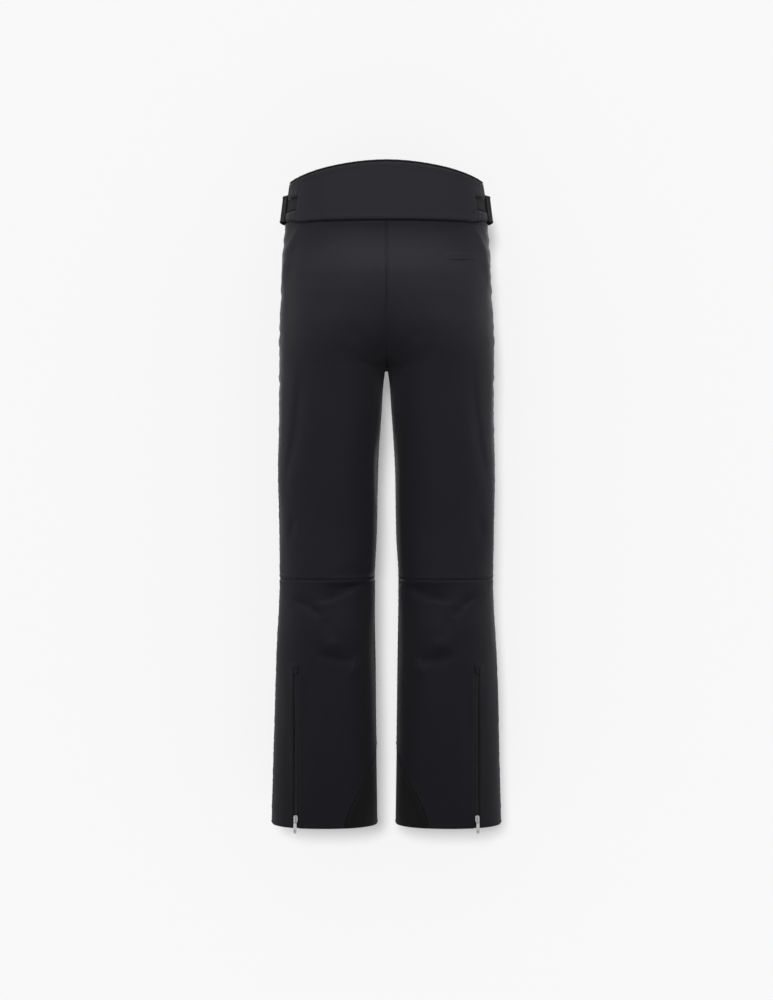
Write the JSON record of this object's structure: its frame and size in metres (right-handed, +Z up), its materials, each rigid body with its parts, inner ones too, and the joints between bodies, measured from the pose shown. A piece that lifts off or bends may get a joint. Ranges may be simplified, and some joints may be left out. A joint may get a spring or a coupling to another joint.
{
  "type": "ski pants",
  "caption": "Long insulated ski pants with a raised back waistband, side waist adjusters, zipped cuffs with inner gaiters, reinforced inner hems, hand pockets and a zipped fly.",
  "frame": {"origin": "centre of the waist, level with the waist seam at the sides, where the wearer's waist holds the pants", "axes": "+Z up along the legs, -Y towards the garment's front, +X towards the wearer's left"},
  "size_m": [0.394, 0.2593, 1.1346],
  "materials": {
    "shell": "matte charcoal softshell, fine twill weave",
    "kick": "heavy matte black abrasion cloth",
    "webbing": "black ribbed webbing and binding",
    "hook_loop": "black hook and loop tape",
    "zip_tape": "black coated zip tape and coil",
    "zip_metal": "satin silver",
    "lining": "dark smooth lining",
    "elastic": "black ribbed elastic"
  },
  "bodies": {
    "garment": {"back_panel_left": "shell", "front_panel_left": "shell", "knee_panel_left": "shell", "shin_panel_left": "shell", "calf_panel_left": "shell", "kick_panel_left": "kick", "front_waistband_left": "shell", "front_waistband_binding_left": "webbing", "adjuster_patch_left": "hook_loop", "cuff_zip_left": "zip_tape", "cuff_zip_garage_left": "zip_tape", "cuff_gusset_left": "lining", "snow_gaiter_left": "lining", "gaiter_elastic_left": "elastic", "hand_pocket_zip_left": "zip_tape", "hand_pocket_bag_left": "lining", "back_panel_right": "shell", "front_panel_right": "shell", "knee_panel_right": "shell", "shin_panel_right": "shell", "calf_panel_right": "shell", "kick_panel_right": "kick", "front_waistband_right": "shell", "front_waistband_binding_right": "webbing", "adjuster_patch_right": "hook_loop", "cuff_zip_right": "zip_tape", "cuff_zip_garage_right": "zip_tape", "cuff_gusset_right": "lining", "snow_gaiter_right": "lining", "gaiter_elastic_right": "elastic", "hand_pocket_zip_right": "zip_tape", "hand_pocket_bag_right": "lining", "back_waistband": "shell", "back_waistband_binding": "webbing", "back_waistband_facing": "lining", "back_elastic": "elastic", "back_pocket_welt": "shell", "back_pocket_bag": "lining", "fly_zip": "zip_tape", "fly_shield": "lining", "snap_stud_1": "zip_metal", "snap_stud_2": "zip_metal", "hang_loop": "webbing"},
    "cuff_left_slider_body": {"cuff_left_slider": "zip_metal"},
    "cuff_left_puller_body": {"cuff_left_puller": "zip_metal"},
    "hand_pocket_left_slider_body": {"hand_pocket_left_slider": "zip_metal"},
    "hand_pocket_left_puller_body": {"hand_pocket_left_puller": "zip_metal"},
    "cuff_right_slider_body": {"cuff_right_slider": "zip_metal"},
    "cuff_right_puller_body": {"cuff_right_puller": "zip_metal"},
    "hand_pocket_right_slider_body": {"hand_pocket_right_slider": "zip_metal"},
    "hand_pocket_right_puller_body": {"hand_pocket_right_puller": "zip_metal"},
    "fly_slider_body": {"fly_slider": "zip_metal"},
    "fly_puller_body": {"fly_puller": "zip_metal"},
    "adjuster_left": {"adjuster_strap_left": "webbing", "adjuster_tab_left": "hook_loop"},
    "adjuster_right": {"adjuster_strap_right": "webbing", "adjuster_tab_right": "hook_loop"},
    "closure": {"closure_tab": "shell", "snap_cap_1": "zip_metal", "snap_cap_2": "zip_metal"}
  },
  "joints": [
    {"name": "cuff_left_zip", "type": "slide", "parent": "garment", "child": "cuff_left_slider_body", "axis": [0, 0.0228, 0.9997], "range_m": [0, 0.237]},
    {"name": "cuff_left_pull", "type": "hinge", "parent": "cuff_left_slider_body", "child": "cuff_left_puller_body", "pos_m": [0.15434, 0.06943, -1.01556], "axis": [0.8876, -0.4605, 0.0105], "range_deg": [0, 105]},
    {"name": "hand_pocket_left_zip", "type": "slide", "parent": "garment", "child": "hand_pocket_left_slider_body", "axis": [0.2022, 0.0358, -0.9787], "range_m": [0, 0.104]},
    {"name": "hand_pocket_left_pull", "type": "hinge", "parent": "hand_pocket_left_slider_body", "child": "hand_pocket_left_puller_body", "pos_m": [0.13455, -0.08323, -0.05462], "axis": [-0.7491, -0.6381, -0.1781], "range_deg": [0, 100]},
    {"name": "cuff_right_zip", "type": "slide", "parent": "garment", "child": "cuff_right_slider_body", "axis": [0, 0.0228, 0.9997], "range_m": [0, 0.237]},
    {"name": "cuff_right_pull", "type": "hinge", "parent": "cuff_right_slider_body", "child": "cuff_right_puller_body", "pos_m": [-0.15434, 0.06943, -1.01556], "axis": [0.8876, 0.4605, -0.0105], "range_deg": [0, 105]},
    {"name": "hand_pocket_right_zip", "type": "slide", "parent": "garment", "child": "hand_pocket_right_slider_body", "axis": [-0.2022, 0.0358, -0.9787], "range_m": [0, 0.104]},
    {"name": "hand_pocket_right_pull", "type": "hinge", "parent": "hand_pocket_right_slider_body", "child": "hand_pocket_right_puller_body", "pos_m": [-0.13455, -0.08323, -0.05462], "axis": [-0.7491, 0.6381, 0.1781], "range_deg": [0, 100]},
    {"name": "fly_zip", "type": "slide", "parent": "garment", "child": "fly_slider_body", "axis": [0, -0.1459, -0.9893], "range_m": [0, 0.102]},
    {"name": "fly_pull", "type": "hinge", "parent": "fly_slider_body", "child": "fly_puller_body", "pos_m": [0, -0.10666, -0.01269], "axis": [-1, 0, 0], "range_deg": [0, 95]},
    {"name": "adjust_left", "type": "hinge", "parent": "garment", "child": "adjuster_left", "pos_m": [0.08, 0, 0.026], "axis": [0, 0, -1], "range_deg": [0, 15]},
    {"name": "adjust_right", "type": "hinge", "parent": "garment", "child": "adjuster_right", "pos_m": [-0.08, 0, 0.026], "axis": [0, 0, 1], "range_deg": [0, 15]},
    {"name": "closure_open", "type": "hinge", "parent": "garment", "child": "closure", "pos_m": [0.0245, -0.1026, 0.014], "axis": [0, 0, 1], "range_deg": [0, 110]}
  ]
}
